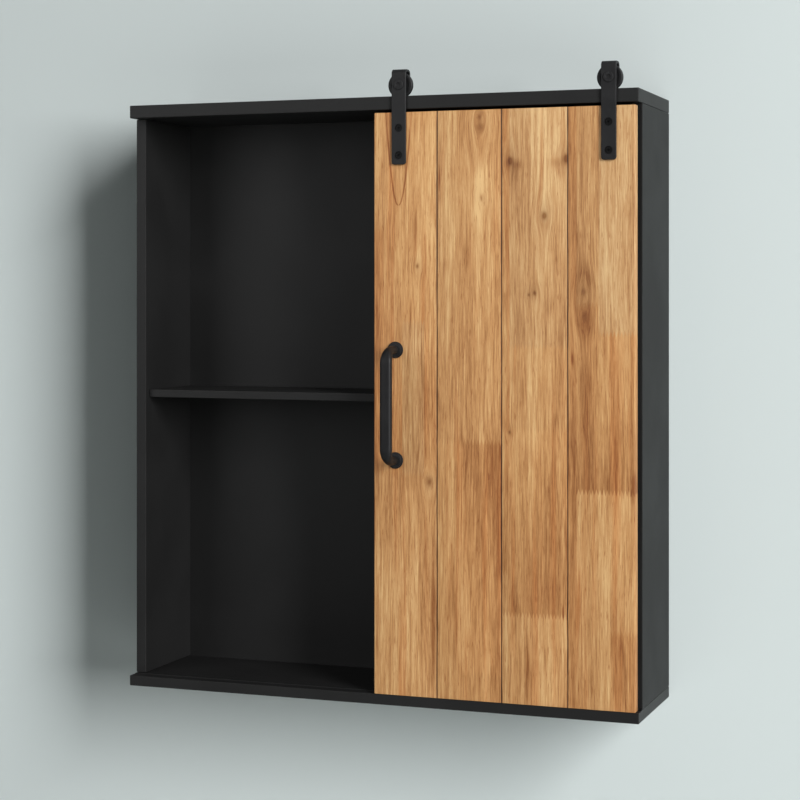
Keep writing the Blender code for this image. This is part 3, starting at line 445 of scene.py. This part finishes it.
def wood_material(number, left, right, top, bottom):
    """Oiled, glued-up hardwood plank with its grain along Z."""
    paint = Paint("oiled_wood_%d" % number)
    width = right - left
    height = top - bottom
    seed = 7.31 * number

    # The grain runs round the knots and wanders a little.
    wander = paint.noise(paint.stretched(paint.place, WANDER_SCALE, (seed, 0, 0)), 1.0, 2.0)
    bent = paint.x + (wander - 0.5) * 0.010
    knot_dark = None
    for across, down, radius, darkness in KNOTS[number]:
        off = paint.x - (left + across * width)
        rise = paint.z - (top - down * height)
        around = bell(paint, off, rise, radius * 2.6, radius * 5.0)
        bent = bent - off * around * 0.8
        heart = bell(paint, off, rise, radius * 0.8, radius * 1.2) * darkness
        halo = around * (darkness * 0.28)
        both = heart + halo
        knot_dark = both if knot_dark is None else knot_dark + both

    grain = paint.vector(bent, paint.y, paint.z)
    broad = paint.noise(paint.stretched(grain, BROAD_SCALE, (seed, 1, 0)), 1.0, 4.0, 0.62)
    streak = paint.noise(paint.stretched(grain, STREAK_SCALE, (seed, 2, 0)), 1.0, 4.0, 0.66)
    fibre = paint.noise(paint.stretched(grain, FIBRE_SCALE, (seed, 3, 0)), 1.0, 4.0, 0.72)
    field = paint.noise(paint.stretched(grain, FIELD_SCALE, (seed, 4, 0)), 1.0, 1.0, 0.4)
    rings = paint.math("PINGPONG", field * 16.0, 1.0)
    line = paint.step(rings, 0.80, 1.0)

    tone = (broad - 0.5) * 0.85 + (streak - 0.5) * 0.90 + (fibre - 0.5) * 1.30 + 0.5
    tone = tone - line * 0.08

    # Pieces glued side by side, with finger joints at their ends.
    teeth = paint.math("PINGPONG", (paint.x - left) / FINGER_PITCH, 0.5) * (2 * FINGER_LENGTH)
    height_at = (top + FINGER_LENGTH / 2) - paint.z - teeth
    down_here = height_at / height
    across_here = (paint.x - left) / width
    red = None
    for low, high, start, end, lightness, lean, redness in STAVES[number]:
        inside = None
        edges = limits(paint, across_here, low, high, GLUE_LINE)
        edges += limits(paint, down_here, start, end, FINGER_EDGE)
        for edge in edges:
            inside = edge if inside is None else inside * edge
        lift = (down_here - (start + end) / 2) * (lean * 2 / (end - start)) + lightness
        lift = lift if inside is None else inside * lift
        warm = redness if inside is None else inside * redness
        tone = tone + lift
        red = warm if red is None else red + warm

    dark = None
    for across, down, half_width, half_length, darkness in STREAKS[number]:
        off = bent - (left + across * width)
        rise = paint.z - (top - down * height)
        mark = bell(paint, off, rise, half_width, half_length) * darkness
        dark = mark if dark is None else dark + mark
    if number in FLAME:
        across, down, half, length = FLAME[number]
        below = paint.math("MAXIMUM", (paint.z - (top - down * height)) / length, 0.0)
        side = paint.math("ABSOLUTE", paint.x - (left + across * width) + (wander - 0.5) * 0.004)
        miss = (side - paint.math("SQRT", below) * half) / 0.0008
        drawn = paint.math("EXPONENT", miss * miss * -1.0) * paint.step(below, 0.0, 0.004)
        dark = dark + drawn * paint.step(below, 0.4, 1.6, 0.85, 0.25)
    tone = tone - dark * 0.55

    colour = paint.ramp(tone, ((0.05, HONEY_DARK), (0.50, HONEY), (0.95, HONEY_LIGHT)))
    blush = paint.noise(paint.stretched(grain, BLUSH_SCALE, (seed, 5, 0)), 1.0, 3.0, 0.6)
    reddish = paint.step(blush, 0.50, 0.75, 0.0, 0.75) + red + paint.math("MAXIMUM", dark, 0.0) * 0.6
    colour = paint.mix(paint.math("MINIMUM", paint.math("MAXIMUM", reddish, 0.0), 1.0),
                       colour, RED_BROWN, "MULTIPLY")
    pale = paint.math("MINIMUM", paint.math("MAXIMUM", red * -1.0, 0.0), 1.0)
    colour = paint.mix(pale, colour, PALE, "MULTIPLY")
    pore_noise = paint.noise(paint.stretched(grain, PORE_SCALE, (seed, 6, 0)), 1.0, 2.0, 0.5)
    pores = paint.step(pore_noise, 0.60, 0.72)
    colour = paint.mix(pores * 0.70, colour, PORE_BROWN, "MULTIPLY")
    colour = paint.mix(paint.math("MINIMUM", knot_dark, 1.0), colour, KNOT_BROWN, "MULTIPLY")

    # Painted shade and dirt darken the wood at the grooves between planks.
    inward = paint.math("MINIMUM", paint.x - left, right - paint.x)
    patchy = paint.noise(paint.stretched(paint.place, SHADE_AND_STAIN_SCALE, (seed, 7, 0)), 1.0, 3.0)
    reach = paint.step(patchy, 0.35, 0.65, GROOVE_SHADE_AND_STAIN * 0.7, GROOVE_SHADE_AND_STAIN * 1.5)
    # Painted shade and dirt: darker within a patchy reach of each groove.
    groove_shade_and_stain = paint.step(inward, 0.0002, reach, 1.0, 0.0)
    if number == 1:
        groove_shade_and_stain = groove_shade_and_stain * paint.step(paint.x, left + width * 0.4, left + width * 0.6)
    if number == PLANKS:
        groove_shade_and_stain = groove_shade_and_stain * paint.step(paint.x, left + width * 0.4, left + width * 0.6, 1.0, 0.0)
    colour = paint.mix(groove_shade_and_stain, colour, SHADE_AND_STAIN_BROWN, "MULTIPLY")

    # End grain drinks more oil.
    geometry = paint.node("ShaderNodeNewGeometry")
    split = paint.node("ShaderNodeSeparateXYZ")
    paint.tree.links.new(geometry.outputs["True Normal"], split.inputs[0])
    upright = paint.math("ABSOLUTE", Value(paint, split.outputs[2]))
    colour = paint.mix(paint.step(upright, 0.6, 0.9) * 0.5, colour, PORE_BROWN, "MULTIPLY")

    roughness = paint.step(streak, 0.3, 0.7, 0.52, 0.64)
    paint.bump(fibre * 0.5 + streak * 0.6 - pores * 0.5, 0.30, 0.00035)
    return paint.finish(colour, roughness, Specular_IOR_Level=WOOD_SHEEN)


# ---------------------------------------------------------------- mesh helpers
SHARP_ANGLE = 32


def mesh_object(name, bm, look, body, replaced):
    """Turn a mesh into a smooth-shaded piece that takes the place of CAD nodes."""
    bmesh.ops.recalc_face_normals(bm, faces=bm.faces)
    mesh = bpy.data.meshes.new(name)
    bm.to_mesh(mesh)
    bm.free()
    mesh.shade_smooth()
    mesh.set_sharp_from_angle(angle=math.radians(SHARP_ANGLE))
    mesh.materials.append(look)
    obj = bpy.data.objects.new(name, mesh)
    bpy.context.scene.collection.objects.link(obj)
    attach(obj, body)
    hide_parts(*replaced)


def arc(centre, radius, start, end, steps):
    """Points on an arc in a plane, angles in degrees."""
    points = []
    for number in range(steps + 1):
        angle = math.radians(start + (end - start) * number / steps)
        points.append((centre[0] + radius * math.cos(angle), centre[1] + radius * math.sin(angle)))
    return points


def turned(profile, centre, steps, closed=False):
    """Spin (radius, height) points about a line through centre, with height toward the front."""
    axis = -Y_AXIS
    bm = bmesh.new()
    turn = Z_AXIS.rotation_difference(axis).to_matrix()
    points = [bm.verts.new(turn @ Vector((radius, 0, height))) for radius, height in profile]
    edges = [bm.edges.new(pair) for pair in zip(points, points[1:])]
    if closed:
        edges.append(bm.edges.new((points[-1], points[0])))
    bmesh.ops.spin(bm, geom=points + edges, cent=(0, 0, 0), axis=axis, angle=2 * math.pi,
                   steps=steps, use_merge=True)
    bmesh.ops.remove_doubles(bm, verts=bm.verts, dist=1e-6)
    bmesh.ops.translate(bm, vec=centre, verts=bm.verts)
    return bm


# ---------------------------------------------------------------- planks
TONGUE = 0.004
TONGUE_HALF = 0.0018
JOINT_GAP = 0.0003
GROOVE_ROUND = 0.0006
DOOR_CORNER = 0.0016
END_ROUND = 0.0005
CORNER_STEPS = 8
GROOVE_STEPS = 4
END_STEPS = 3
SAME_LEVEL = 1e-7


def plank_outline(number, left, right, front, rear):
    """Plan view of a plank: groove on its left, tongue on its right."""
    middle = (front + rear) / 2
    outline = []
    if number == 1:
        outline += arc((left + DOOR_CORNER, rear - DOOR_CORNER), DOOR_CORNER, 90, 180, CORNER_STEPS)
        outline += arc((left + DOOR_CORNER, front + DOOR_CORNER), DOOR_CORNER, 180, 270, CORNER_STEPS)
    else:
        deep = left + TONGUE + JOINT_GAP
        half = TONGUE_HALF + JOINT_GAP
        outline += arc((left + GROOVE_ROUND, rear - GROOVE_ROUND), GROOVE_ROUND, 90, 180, GROOVE_STEPS)
        outline += [(left, middle + half), (deep, middle + half)]
        outline += [(deep, middle - half), (left, middle - half)]
        outline += arc((left + GROOVE_ROUND, front + GROOVE_ROUND), GROOVE_ROUND, 180, 270, GROOVE_STEPS)
    if number == PLANKS:
        outline += arc((right - DOOR_CORNER, front + DOOR_CORNER), DOOR_CORNER, 270, 360, CORNER_STEPS)
        outline += arc((right - DOOR_CORNER, rear - DOOR_CORNER), DOOR_CORNER, 0, 90, CORNER_STEPS)
    else:
        outline += arc((right - GROOVE_ROUND, front + GROOVE_ROUND), GROOVE_ROUND, 270, 360, GROOVE_STEPS)
        outline += [(right, middle - TONGUE_HALF), (right + TONGUE, middle - TONGUE_HALF)]
        outline += [(right + TONGUE, middle + TONGUE_HALF), (right, middle + TONGUE_HALF)]
        outline += arc((right - GROOVE_ROUND, rear - GROOVE_ROUND), GROOVE_ROUND, 0, 90, GROOVE_STEPS)
    return outline


def make_planks():
    first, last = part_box("door_plank_1"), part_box("door_plank_%d" % PLANKS)
    door_left, front, bottom = first[0]
    door_right, rear, top = last[1]
    pitch = (door_right - door_left) / PLANKS
    for number in range(1, PLANKS + 1):
        left = door_left + pitch * (number - 1) + (JOINT_GAP if number > 1 else 0)
        right = door_left + pitch * number
        look = wood_material(number, left, right, top, bottom)
        bm = bmesh.new()
        outline = plank_outline(number, left, right, front, rear)
        corners = [bm.verts.new((x, y, bottom)) for x, y in outline]
        face = bm.faces.new(corners)
        pushed = bmesh.ops.extrude_face_region(bm, geom=[face])
        raised = [item for item in pushed["geom"] if isinstance(item, bmesh.types.BMVert)]
        bmesh.ops.translate(bm, vec=(0, 0, top - bottom), verts=raised)
        ends = [edge for edge in bm.edges
                if abs(edge.verts[0].co.z - edge.verts[1].co.z) < SAME_LEVEL]
        bmesh.ops.bevel(bm, geom=ends, offset=END_ROUND, offset_type="OFFSET", segments=END_STEPS,
                        profile=0.5, affect="EDGES", clamp_overlap=True)
        mesh_object("plank_%d" % number, bm, look, "door", ("door_plank_%d" % number,))


# ---------------------------------------------------------------- handle
BAR_REACH = 0.0312
BAR_BEND = 0.0150
NECK_RADIUS = 0.0046
GRIP_DEPTH = 0.0088
GRIP_SQUARENESS = 0.8
BEND_STEPS = 24
BAR_SIDES = 48


def bar_section(flat, grip_width):
    """Outline (sideways, outwards) of the bar: a round neck at 0, the flattened grip at 1."""
    wide = NECK_RADIUS + (grip_width / 2 - NECK_RADIUS) * flat
    deep = NECK_RADIUS + (GRIP_DEPTH / 2 - NECK_RADIUS) * flat
    power = 2 / (2 + GRIP_SQUARENESS * flat)
    points = []
    for step in range(BAR_SIDES):
        sideways = math.cos(2 * math.pi * step / BAR_SIDES)
        outwards = math.sin(2 * math.pi * step / BAR_SIDES)
        points.append((math.copysign(wide * abs(sideways) ** power, sideways),
                       math.copysign(deep * abs(outwards) ** power, outwards)))
    return points


def make_handle(look):
    """A bar swept from its lower foot out, up and back, flattened between its bends."""
    low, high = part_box("handle_bar")
    x = (high.x + low.x) / 2
    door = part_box("door_plank_1")[0].y
    lower, upper = low.z + NECK_RADIUS, high.z - NECK_RADIUS
    foot = high.y
    out = door - BAR_REACH + BAR_BEND
    flatness = [(1 - math.cos(math.pi * step / BEND_STEPS)) / 2 for step in range(BEND_STEPS + 1)]
    bends = arc((out, lower + BAR_BEND), BAR_BEND, 270, 180, BEND_STEPS)
    bends += arc((out, upper - BAR_BEND), BAR_BEND, 180, 90, BEND_STEPS)
    path = [((foot, lower), 0.0)]
    path += list(zip(bends, flatness + flatness[::-1]))
    path += [((foot, upper), 0.0)]
    bm = bmesh.new()
    points = [Vector((x, y, z)) for (y, z), flat in path]
    rings = []
    for number, point in enumerate(points):
        heading = points[min(number + 1, len(points) - 1)] - points[max(number - 1, 0)]
        if number in (0, len(points) - 1):
            heading = Y_AXIS * (-1 if number == 0 else 1)
        across = heading.normalized().cross(X_AXIS)
        section = bar_section(path[number][1], high.x - low.x)
        rings.append([bm.verts.new(point + sideways * X_AXIS + outwards * across)
                      for sideways, outwards in section])
    for one, two in zip(rings, rings[1:]):
        for step in range(BAR_SIDES):
            after = (step + 1) % BAR_SIDES
            bm.faces.new((one[step], one[after], two[after], two[step]))
    bm.faces.new(rings[0])
    bm.faces.new(rings[-1])
    mesh_object("grip_bar", bm, look, "door", ("handle_bar",))


ROSETTE_BASE = 0.52                # height of the lower disc, as a share of the whole
ROSETTE_FOOT_ROUND = 0.0003
ROSETTE_ROUND = 0.0006
ROSETTE_LEDGE = 0.0013             # from the rim in to the foot of the upper disc
ROSETTE_TOP_INSET = 0.0021         # from the rim in to the middle of that disc's rounding
TURNED_STEPS = 56


def make_rosettes(look):
    for row in ("lower", "upper"):
        node = "handle_rosette_" + row
        low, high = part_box(node)
        radius = (high.x - low.x) / 2
        thick = high.y - low.y
        base = thick * ROSETTE_BASE
        foot, edge = ROSETTE_FOOT_ROUND, ROSETTE_ROUND
        profile = [(0.0, 0.0), (radius - foot, 0.0)]
        profile += arc((radius - foot, foot), foot, -90, 0, 3)
        profile += arc((radius - edge, base - edge), edge, 0, 90, 5)
        profile += [(radius - ROSETTE_LEDGE, base)]
        profile += arc((radius - ROSETTE_TOP_INSET, thick - edge), edge, 0, 90, 5)
        profile += [(0.0, thick)]
        centre = Vector(((low.x + high.x) / 2, high.y, (low.z + high.z) / 2))
        bm = turned(profile, centre, TURNED_STEPS)
        mesh_object("rosette_" + row, bm, look, "door", (node,))


# ---------------------------------------------------------------- rollers
WHEEL_SHOULDER = 0.0015
WHEEL_BORE = 0.0033
WHEEL_DISH = 0.0006
HUB_EDGE = 0.0062                  # radii of the dish in each face, from the hub out
DISH_INNER = 0.0066
DISH_OUTER = 0.0102
DISH_EDGE = 0.0106
SHOULDER_STEPS = 7
WHEEL_STEPS = 72


def make_rollers():
    for side in SIDES:
        node = "roller_" + side
        low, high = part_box(node)
        centre = (low + high) / 2
        radius = (high.x - low.x) / 2
        half = (high.y - low.y) / 2
        look = nylon_material("moulded_nylon_" + side, centre, radius)
        rim = radius - WHEEL_SHOULDER
        face = [(WHEEL_BORE, half), (HUB_EDGE, half), (DISH_INNER, half - WHEEL_DISH),
                (DISH_OUTER, half - WHEEL_DISH), (DISH_EDGE, half)]
        profile = [(out, -height) for out, height in face]
        profile += arc((rim, WHEEL_SHOULDER - half), WHEEL_SHOULDER, -90, 0, SHOULDER_STEPS)
        profile += arc((rim, half - WHEEL_SHOULDER), WHEEL_SHOULDER, 0, 90, SHOULDER_STEPS)
        profile += reversed(face)
        bm = turned(profile, centre, WHEEL_STEPS, closed=True)
        mesh_object("wheel_" + side, bm, look, side + "_roller", (node,))


SHANK_RADIUS = 0.003
SHANK_CHAMFER = 0.0004
HEAD_THICKNESS = 0.0014
HEAD_FOOT_ROUND = 0.0003
HEAD_ROUND = 0.0008
HEAD_FLAT_INSET = 0.0022
SOCKET_PROFILE = ((0.0026, 0.0001), (0.0022, -0.0003), (0.0020, -0.0012), (0.0, -0.0014))


def make_bolts(look):
    """Low, nearly flat bolt heads with a socket, and their shanks through strap, wheel and nut."""
    for side in SIDES:
        node = "roller_bolt_" + side
        low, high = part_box(node)
        centre = Vector(((low.x + high.x) / 2, high.y, (low.z + high.z) / 2))
        head_radius = (high.x - low.x) / 2
        under = high.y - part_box("hanger_strap_" + side)[0].y
        over = under + HEAD_THICKNESS
        foot, edge = HEAD_FOOT_ROUND, HEAD_ROUND
        profile = [(0.0, 0.0), (SHANK_RADIUS - SHANK_CHAMFER, 0.0)]
        profile += [(SHANK_RADIUS, SHANK_CHAMFER), (SHANK_RADIUS, under)]
        profile += arc((head_radius - foot, under + foot), foot, -90, 0, 3)
        profile += arc((head_radius - edge, over - edge), edge, 0, 75, 6)
        profile += [(head_radius - HEAD_FLAT_INSET, over)]
        profile += [(radius, over + rise) for radius, rise in SOCKET_PROFILE]
        bm = turned(profile, centre, TURNED_STEPS)
        mesh_object("axle_bolt_" + side, bm, look, "door", (node,))


# ---------------------------------------------------------------- CAD nodes that stay
def dress(node, look):
    obj = NODES[node]
    for index in range(len(obj.material_slots)):
        obj.material_slots[index].material = look


def dress_cad_nodes(metal, oxide_and_shade):
    boards = ("top_panel", "bottom_panel", "side_panel_left", "side_panel_right", "centre_divider",
              "hanging_rail", "shelf_left", "shelf_right")
    for number, node in enumerate(boards):
        # The right side panel faces the key light and gets less sheen as painted shade.
        sheen = KEY_SIDE_SHADED_SHEEN if node == "side_panel_right" else BOARD_SHEEN
        dress(node, board_material(node, BOARD_SEED_STEP * number, sheen))
    dress("back_panel", fibreboard_material("back_panel"))
    zinc = zinc_material("zinc_plate", 1.0)
    for node in sorted(NODES):
        if node.startswith(("screw_", "plate_screw_", "keyhole_plate_", "shelf_pin_", "handle_screw_")):
            dress(node, zinc)
        elif node.startswith("strap_screw_"):
            dress(node, oxide_and_shade)
        elif node.startswith(("hanger_strap_", "roller_spacer_", "roller_nut_")):
            dress(node, metal)


# ---------------------------------------------------------------- camera, light and stage
CAMERA_PLACE = (0.7867, -2.2233, -0.1747)
CAMERA_TURN = 19.993
CAMERA_LENS = 88.20
CAMERA_SHIFT = -0.1358
SENSOR_WIDTH = 36.0


def make_camera():
    data = bpy.data.cameras.new("camera")
    data.lens = CAMERA_LENS
    data.sensor_width = SENSOR_WIDTH
    data.shift_y = CAMERA_SHIFT
    data.clip_start = 0.05
    data.clip_end = 50.0
    camera = bpy.data.objects.new("camera", data)
    camera.location = CAMERA_PLACE
    camera.rotation_euler = (math.radians(90), 0, math.radians(CAMERA_TURN))
    bpy.context.scene.collection.objects.link(camera)
    bpy.context.scene.camera = camera


def make_light(name, place, target, size, power):
    data = bpy.data.lights.new(name, "AREA")
    data.shape = "RECTANGLE"
    data.size, data.size_y = size
    data.energy = power
    light = bpy.data.objects.new(name, data)
    light.location = place
    light.rotation_euler = (Vector(target) - Vector(place)).to_track_quat("-Z", "Y").to_euler()
    bpy.context.scene.collection.objects.link(light)
    return light


def stage_plane(name, corners, look):
    bm = bmesh.new()
    bm.faces.new([bm.verts.new(corner) for corner in corners])
    mesh = bpy.data.meshes.new(name)
    bm.to_mesh(mesh)
    bm.free()
    mesh.materials.append(look)
    obj = bpy.data.objects.new(name, mesh)
    bpy.context.scene.collection.objects.link(obj)
    obj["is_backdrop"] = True


WALL_PAINT = linear(216, 225, 224)
WALL_SHEEN = 0.2
WALL_GAP = 0.001
WALL_REACH = 3
WALL_TOP = 2.2
FLOOR_GREY = linear(214, 216, 214)
FLOOR_REACH = 5
FLOOR_DROP = 1.3


def make_stage():
    """A pale wall, seen only from its front, and a pale floor far below."""
    wall = Paint("pale_wall")
    fine = wall.noise(wall.place, 300.0, 3.0)
    wall.bump(fine, 0.05, 0.0003)
    wall.finish(WALL_PAINT, 0.9, Specular_IOR_Level=WALL_SHEEN)
    output = wall.tree.nodes["Material Output"]
    see_through = wall.node("ShaderNodeBsdfTransparent")
    chosen = wall.node("ShaderNodeMixShader")
    geometry = wall.node("ShaderNodeNewGeometry")
    wall.tree.links.new(geometry.outputs["Backfacing"], chosen.inputs[0])
    wall.tree.links.new(wall.shader.outputs[0], chosen.inputs[1])
    wall.tree.links.new(see_through.outputs[0], chosen.inputs[2])
    wall.tree.links.new(chosen.outputs[0], output.inputs["Surface"])
    floor_z = CAD_BOX[0].z - FLOOR_DROP
    rims = ((-WALL_REACH, floor_z), (WALL_REACH, floor_z), (WALL_REACH, WALL_TOP), (-WALL_REACH, WALL_TOP))
    stage_plane("wall", [(x, WALL_GAP, z) for x, z in rims], wall.material)
    floor = Paint("pale_floor")
    mottled = floor.noise(floor.place, 40.0, 3.0)
    floor.finish(FLOOR_GREY, floor.step(mottled, 0.3, 0.7, 0.75, 0.85))
    rims = ((-1, -1), (1, -1), (1, 1), (-1, 1))
    stage_plane("floor", [(x * FLOOR_REACH, y * FLOOR_REACH, floor_z) for x, y in rims], floor.material)


KEY_TOWARD = Vector((0.764, -0.575, 0.292))
KEY_DISTANCE = 8.0
KEY_SIZE = (2.4, 5.0)
KEY_POWER = 806
# Fills: name, place from the cabinet's middle, size, power.
FILLS = (
    ("front_fill", (-1.6, -2.6, 0.9), (1.6, 2.2), 28),
    ("top_fill", (0.2, -1.4, 2.6), (2.0, 1.6), 10),
    ("low_fill", (-0.4, -1.6, -2.2), (2.0, 1.6), 20),
    ("left_fill", (-2.8, 0.3, 0.3), (1.5, 1.5), 8),
)
REAR_FILL = ("rear_fill", (1.4, 2.6, 1.0), (2.0, 2.0), 70)
REAR_NODES = ("back_panel", "hanging_rail", "keyhole_plate_", "plate_screw_")
SKY_COLOUR = (0.92, 0.96, 1.0, 1.0)
SKY_STRENGTH = 0.018


def make_lights():
    """One soft key from the right, and fills that reach the cabinet but not the wall."""
    middle = (CAD_BOX[0] + CAD_BOX[1]) / 2
    make_light("key", middle + KEY_TOWARD * KEY_DISTANCE, middle, KEY_SIZE, KEY_POWER)
    cabinet_only = bpy.data.collections.new("cabinet_only")
    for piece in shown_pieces():
        cabinet_only.objects.link(piece)
    for name, offset, size, power in FILLS:
        light = make_light(name, middle + Vector(offset), middle, size, power)
        light.light_linking.receiver_collection = cabinet_only
    # The wall doesn't block this one, and only the pieces at the cabinet's rear receive it.
    rear_pieces = bpy.data.collections.new("rear_pieces")
    for node in sorted(NODES):
        if node.startswith(REAR_NODES):
            rear_pieces.objects.link(NODES[node])
    name, offset, size, power = REAR_FILL
    rear = make_light(name, middle + Vector(offset), middle, size, power)
    rear.light_linking.receiver_collection = rear_pieces
    rear.light_linking.blocker_collection = cabinet_only
    world = bpy.data.worlds.new("studio")
    world.use_nodes = True
    sky = world.node_tree.nodes["Background"]
    sky.inputs["Color"].default_value = SKY_COLOUR
    sky.inputs["Strength"].default_value = SKY_STRENGTH
    bpy.context.scene.world = world
    bpy.context.scene.view_settings.view_transform = "Standard"


# ---------------------------------------------------------------- assembly
black_metal = coated_metal_material("powder_coat", 0.0, METAL_SHEEN)
grip_metal = coated_metal_material("grip_coat", 5.0, GRIP_SHEEN)
oxide_and_shade_steel = oxide_and_shade_material("black_oxide_and_shade")
make_planks()
make_handle(grip_metal)
make_rosettes(black_metal)
make_rollers()
make_bolts(black_metal)
dress_cad_nodes(black_metal, oxide_and_shade_steel)
make_camera()
make_stage()
make_lights()
